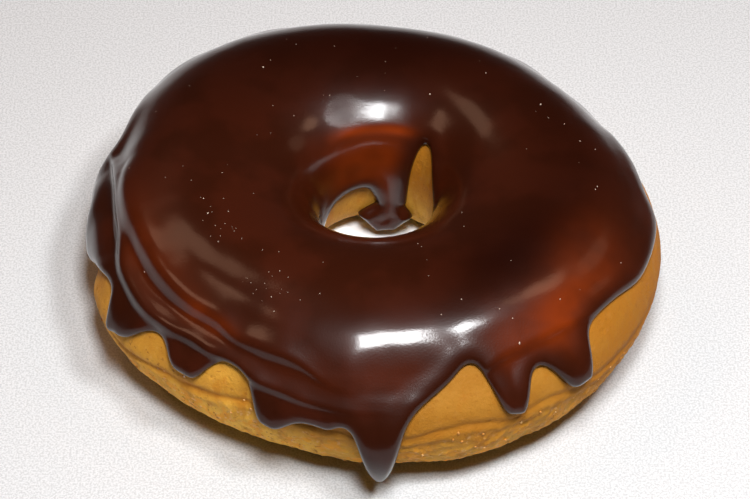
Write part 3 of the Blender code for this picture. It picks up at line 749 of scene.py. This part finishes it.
class Nodes:
    """Builds one material's nodes with short calls."""

    def __init__(self, name):
        self.material = bpy.data.materials.new(name)
        self.material.use_nodes = True
        self.tree = self.material.node_tree
        self.shader = self.tree.nodes["Principled BSDF"]
        self.place = self.tree.nodes.new("ShaderNodeTexCoord").outputs["Object"]

    def link(self, value, socket):
        if isinstance(value, bpy.types.NodeSocket):
            self.tree.links.new(value, socket)
        else:
            socket.default_value = value

    def attribute(self, name):
        node = self.tree.nodes.new("ShaderNodeAttribute")
        node.attribute_name = name
        return node.outputs["Fac"]

    def noise(self, size_mm, detail=2.0, roughness=0.5, stretch=(1, 1, 1), offset=(0, 0, 0)):
        scaled = self.tree.nodes.new("ShaderNodeMapping")
        scaled.inputs["Scale"].default_value = stretch
        scaled.inputs["Location"].default_value = offset
        self.link(self.place, scaled.inputs["Vector"])
        node = self.tree.nodes.new("ShaderNodeTexNoise")
        node.inputs["Scale"].default_value = 1 / (size_mm * MM)
        node.inputs["Detail"].default_value = detail
        node.inputs["Roughness"].default_value = roughness
        self.link(scaled.outputs["Vector"], node.inputs["Vector"])
        return node.outputs["Fac"]

    def span(self, value, low, high, to_low=0.0, to_high=1.0):
        node = self.tree.nodes.new("ShaderNodeMapRange")
        node.interpolation_type = "SMOOTHSTEP"
        for socket, number in zip(node.inputs[:5], (value, low, high, to_low, to_high)):
            self.link(number, socket)
        return node.outputs["Result"]

    def math(self, operation, first, second):
        node = self.tree.nodes.new("ShaderNodeMath")
        node.operation = operation
        self.link(first, node.inputs[0])
        self.link(second, node.inputs[1])
        return node.outputs[0]

    def mix(self, share, first, second):
        node = self.tree.nodes.new("ShaderNodeMix")
        node.data_type = "RGBA"
        self.link(share, node.inputs["Factor"])
        for colour, title in ((first, "A"), (second, "B")):
            given = isinstance(colour, bpy.types.NodeSocket)
            self.link(colour if given else (*colour, 1), node.inputs[title])
        return node.outputs["Result"]

    def bump(self, height, depth_mm):
        node = self.tree.nodes.new("ShaderNodeBump")
        node.inputs["Distance"].default_value = depth_mm * MM
        self.link(height, node.inputs["Height"])
        return node.outputs["Normal"]

    def surface(self, colour, roughness, normal=None):
        self.link(colour, self.shader.inputs["Base Color"])
        self.link(roughness, self.shader.inputs["Roughness"])
        if normal is not None:
            self.link(normal, self.shader.inputs["Normal"])
        return self.material


DARK_ICING = (0.021, 0.0037, 0.0010)
WARM_ICING = (0.030, 0.0052, 0.0017)
THIN_ICING = (0.20, 0.025, 0.0015)
DEEP_ICING = (0.008, 0.0010, 0.0002)


def icing_material():
    nodes = Nodes("icing")
    mottle = nodes.noise(11.0, 3.0)
    colour = nodes.mix(nodes.span(mottle, 0.4, 0.62), DARK_ICING, WARM_ICING)
    colour = nodes.mix(nodes.attribute("deep"), colour, DEEP_ICING)
    uneven = nodes.span(nodes.noise(8.0, 2.0), 0.25, 0.6, 0.45, 1.0)
    colour = nodes.mix(nodes.math("MULTIPLY", nodes.attribute("thin"), uneven), colour, THIN_ICING)
    grain = nodes.noise(0.3, 2.0, 0.6)
    grainy = nodes.attribute("grainy")
    roughness = nodes.span(nodes.noise(14.0, 2.0, offset=(0.1, 0, 0)), 0.3, 0.7, 0.3, 0.36)
    nodes.shader.inputs["Specular IOR Level"].default_value = 0.1
    nodes.shader.inputs["Coat Roughness"].default_value = 0.13
    nodes.shader.inputs["Coat IOR"].default_value = 1.3
    nodes.link(nodes.span(grainy, 0.0, 1.0, 1.0, 0.4), nodes.shader.inputs["Coat Weight"])
    coat_grain = nodes.math("MULTIPLY", grain, nodes.span(grainy, 0.0, 1.0, 0.05, 1.0))
    nodes.link(nodes.bump(coat_grain, 0.17), nodes.shader.inputs["Coat Normal"])
    return nodes.surface(colour, roughness, nodes.bump(grain, 0.02))


GOLD_DOUGH = (0.39, 0.165, 0.012)
SOFT_DOUGH = (0.49, 0.230, 0.027)
# Pale dough, partly its own colour and partly painted light
PALE_AND_PAINTED_LIGHT_DOUGH = (0.89, 0.495, 0.064)
# The band's orange blotches: their own colour, made brighter as painted light where the band faces down
BAND_DOUGH = (0.82, 0.345, 0.026)
# The colour of the painted shade
PAINTED_SHADE_DOUGH = (0.24, 0.090, 0.004)
ORANGE_DOUGH = (0.44, 0.145, 0.003)
CREASE_DOUGH = (0.42, 0.135, 0.005)
BROWN_DOUGH = (0.25, 0.08, 0.004)
FLECK_DOUGH = (0.78, 0.46, 0.20)


def dough_material():
    nodes = Nodes("dough")
    colour = nodes.mix(nodes.span(nodes.noise(5.0, 3.0), 0.38, 0.6), GOLD_DOUGH, SOFT_DOUGH)
    uneven = nodes.span(nodes.noise(4.0, 3.0, 0.6), 0.3, 0.6, 0.5, 1.0)
    # Pale colour: partly the dough's own, partly painted light on the left, low down and in the hole
    colour = nodes.mix(nodes.math("MULTIPLY", nodes.attribute("pale_and_painted_light"), uneven), colour, PALE_AND_PAINTED_LIGHT_DOUGH)
    streak = nodes.noise(2.6, 3.0, 0.6, stretch=(1, 1, 0.35), offset=(0.3, 0, 0))
    streaky = nodes.span(streak, 0.35, 0.55, 0.55, 1.0)
    toasted = nodes.math("MULTIPLY", nodes.attribute("toast"), streaky)
    toasted = nodes.math("MAXIMUM", toasted, nodes.span(streak, 0.5, 0.66, 0.0, 0.55))
    colour = nodes.mix(toasted, colour, ORANGE_DOUGH)
    band = nodes.attribute("band")
    blotch = nodes.span(nodes.noise(2.8, 4.0, 0.6, offset=(0.6, 0, 0)), 0.47, 0.58)
    blotch = nodes.span(blotch, 0.0, 1.0, 0.0, 0.85)
    # Orange blotches in the band, brightened as painted light
    colour = nodes.mix(nodes.math("MULTIPLY", band, blotch), colour, BAND_DOUGH)
    fleck = nodes.span(nodes.noise(1.1, 3.0, 0.6, offset=(0.4, 0, 0)), 0.58, 0.68)
    flecked = nodes.span(band, 0.0, 1.0, 0.1, 0.7)
    colour = nodes.mix(nodes.math("MULTIPLY", fleck, flecked), colour, FLECK_DOUGH)
    dimple = nodes.span(nodes.noise(0.8, 2.0, 0.5, offset=(0.2, 0, 0)), 0.62, 0.7)
    patchy = nodes.span(nodes.noise(6.0, 1.0, offset=(0.2, 0, 0)), 0.4, 0.6, 0.3, 0.7)
    colour = nodes.mix(nodes.math("MULTIPLY", dimple, patchy), colour, BROWN_DOUGH)
    uneven = nodes.span(nodes.noise(3.0, 2.0), 0.3, 0.6, 0.4, 0.75)
    # Darker and more orange along the crease
    colour = nodes.mix(nodes.math("MULTIPLY", nodes.attribute("groove"), uneven), colour, CREASE_DOUGH)
    # Painted shade: the dough darkened where it stands in for shade
    colour = nodes.mix(nodes.math("MULTIPLY", nodes.attribute("painted_shade"), 0.7), colour, PAINTED_SHADE_DOUGH)
    crumb = nodes.noise(0.45, 4.0, 0.65)
    nodes.shader.inputs["Specular IOR Level"].default_value = 0.2
    return nodes.surface(colour, 0.7, nodes.bump(crumb, 0.15))


GREY_FLOOR = (0.42, 0.427, 0.434)
PALE_FLOOR = (0.55, 0.558, 0.566)
# Painted light: the floor under and round the hole is painted white, standing in for light over the
# shadow there
PAINTED_LIGHT_FLOOR = (0.90, 0.90, 0.90)
PAINTED_LIGHT_WITHIN = 15.0
PAINTED_LIGHT_ENDS = 19.0


def floor_material():
    nodes = Nodes("floor")
    grain = nodes.noise(0.35, 2.0, 0.6)
    colour = nodes.mix(nodes.span(grain, 0.38, 0.58), GREY_FLOOR, PALE_FLOOR)
    away = nodes.tree.nodes.new("ShaderNodeVectorMath")
    away.operation = "DISTANCE"
    away.inputs[1].default_value = (*(Vector(RING_CENTRE) * MM), 0.0)
    nodes.link(nodes.place, away.inputs[0])
    # Painted light: whiter within a radius of the ring's centre
    painted_light_share = nodes.span(away.outputs["Value"], PAINTED_LIGHT_WITHIN * MM, PAINTED_LIGHT_ENDS * MM, 1.0, 0.0)
    return nodes.surface(nodes.mix(painted_light_share, colour, PAINTED_LIGHT_FLOOR), 0.9)


GOLD_CRUMB = (0.44, 0.165, 0.012)
PALE_CRUMB = (0.60, 0.33, 0.11)


def crumb_material():
    nodes = Nodes("crumb")
    mottle = nodes.noise(3.0, offset=(0.5, 0, 0))
    colour = nodes.mix(nodes.span(mottle, 0.42, 0.58), GOLD_CRUMB, PALE_CRUMB)
    return nodes.surface(colour, 0.6, nodes.bump(nodes.noise(0.15), 0.05))


BROWN_SUGAR = (0.16, 0.10, 0.07)
PALE_SUGAR = (0.45, 0.35, 0.28)


def sugar_material():
    nodes = Nodes("sugar")
    colour = nodes.mix(nodes.span(nodes.noise(2.0), 0.4, 0.6), BROWN_SUGAR, PALE_SUGAR)
    return nodes.surface(colour, 0.4, nodes.bump(nodes.noise(0.12), 0.03))


def add_floor():
    half = 2.0
    corners = [(-half, -half, 0), (half, -half, 0), (half, half, 0), (-half, half, 0)]
    mesh = bpy.data.meshes.new("floor")
    mesh.from_pydata(corners, [], [(0, 1, 2, 3)])
    mesh.materials.append(floor_material())
    floor = bpy.data.objects.new("floor", mesh)
    bpy.context.scene.collection.objects.link(floor)


CENTRE = Vector((*RING_CENTRE, 15.0)) * MM


def add_softbox(name, azimuth, elevation, distance, width, height, radiance, colour, shape="RECTANGLE"):
    """An area lamp aimed at the doughnut, its brightness given as radiance."""
    lamp = bpy.data.lights.new(name, "AREA")
    lamp.shape = shape
    lamp.size = width
    lamp.size_y = height
    lamp.color = colour
    area = width * height * (math.pi / 4 if shape == "ELLIPSE" else 1.0)
    lamp.energy = radiance * math.pi * area
    a = math.radians(azimuth)
    e = math.radians(elevation)
    direction = Vector((math.cos(e) * math.cos(a), math.cos(e) * math.sin(a), math.sin(e)))
    facing = direction.to_track_quat("Z", "Y")
    thing = bpy.data.objects.new(name, lamp)
    thing.matrix_world = Matrix.LocRotScale(CENTRE + direction * distance, facing, None)
    bpy.context.scene.collection.objects.link(thing)


# Lamps: name, azimuth, elevation, then distance, width and height in metres, and radiance
COOL_LAMPS = (
    ("key", -83, 66, 0.42, 0.074, 0.115, 80.0),
    ("second", -38, 64, 0.42, 0.080, 0.060, 80.0),
)
WARM_LAMPS = (
    ("left", 134, 54, 0.8, 0.22, 0.26, 2.8),
    ("far_left", 178, 53, 0.8, 0.15, 0.20, 4.2),
    ("right", 18, 37, 0.8, 0.20, 0.20, 1.1),
    ("high_right", 11, 55, 0.8, 0.17, 0.18, 5.0),
)
COOL_LIGHT = (0.98, 0.99, 1.0)
WARM_LIGHT = (1.0, 0.56, 0.36)
ROOM_LIGHT = (1.0, 0.95, 0.9)
ROOM_STRENGTH = 0.02

# Each warm lamp has a smaller one over it, so that its mirror image has a soft rim
WARM_SHARES = (1.0, 0.6)


def add_lights():
    for name, azimuth, elevation, distance, width, height, radiance in COOL_LAMPS:
        add_softbox(name, azimuth, elevation, distance, width, height, radiance, COOL_LIGHT)
    for share in WARM_SHARES:
        for name, azimuth, elevation, distance, width, height, radiance in WARM_LAMPS:
            add_softbox(name, azimuth, elevation, distance, width * share, height * share, radiance,
                        WARM_LIGHT, "ELLIPSE")
    world = bpy.data.worlds.new("room")
    world.use_nodes = True
    background = world.node_tree.nodes["Background"]
    background.inputs["Color"].default_value = (*ROOM_LIGHT, 1)
    background.inputs["Strength"].default_value = ROOM_STRENGTH
    bpy.context.scene.world = world


# The camera: its distance and elevation, the point that it looks at, and its focal length in pixels
CAMERA_DISTANCE = 450.0
CAMERA_ELEVATION = 44.64
CAMERA_TARGET = (0.0, 0.0, 17.0)
AIM_BELOW = 5.42
AIM_RIGHT = 0.90
FOCAL_PIXELS = 2640.67
FRAME_WIDTH = 750
SENSOR = 36.0


def add_camera():
    elevation = math.radians(CAMERA_ELEVATION)
    back = Vector((0, -math.cos(elevation), math.sin(elevation)))
    up = Vector((0, math.sin(elevation), math.cos(elevation)))
    ring = Vector((*RING_CENTRE, 0.0))
    target = Vector(CAMERA_TARGET) + ring
    place = target + back * CAMERA_DISTANCE
    aim = target - up * AIM_BELOW + Vector((AIM_RIGHT, 0, 0))
    data = bpy.data.cameras.new("camera")
    data.sensor_width = SENSOR
    data.lens = FOCAL_PIXELS * SENSOR / FRAME_WIDTH
    data.clip_start = 0.01
    camera = bpy.data.objects.new("camera", data)
    camera.matrix_world = Matrix.LocRotScale(place * MM, (place - aim).to_track_quat("Z", "Y"), None)
    bpy.context.scene.collection.objects.link(camera)
    bpy.context.scene.camera = camera


def main():
    points, faces, looks = dough_mesh()
    dough = add_mesh("dough_fine", points, faces, dough_material(), looks)
    points, faces, looks = icing_mesh()
    icing = add_mesh("icing_fine", points, faces, icing_material(), looks)
    for piece, node in ((dough, "dough"), (icing, "icing")):
        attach(piece, "root")
        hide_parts(node)
    for piece, node in ((add_sugar(), "icing"), (add_crumbs(), "dough")):
        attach(piece, "root")
    add_floor()
    add_lights()
    add_camera()
    bpy.context.scene.view_settings.view_transform = "Standard"


main()
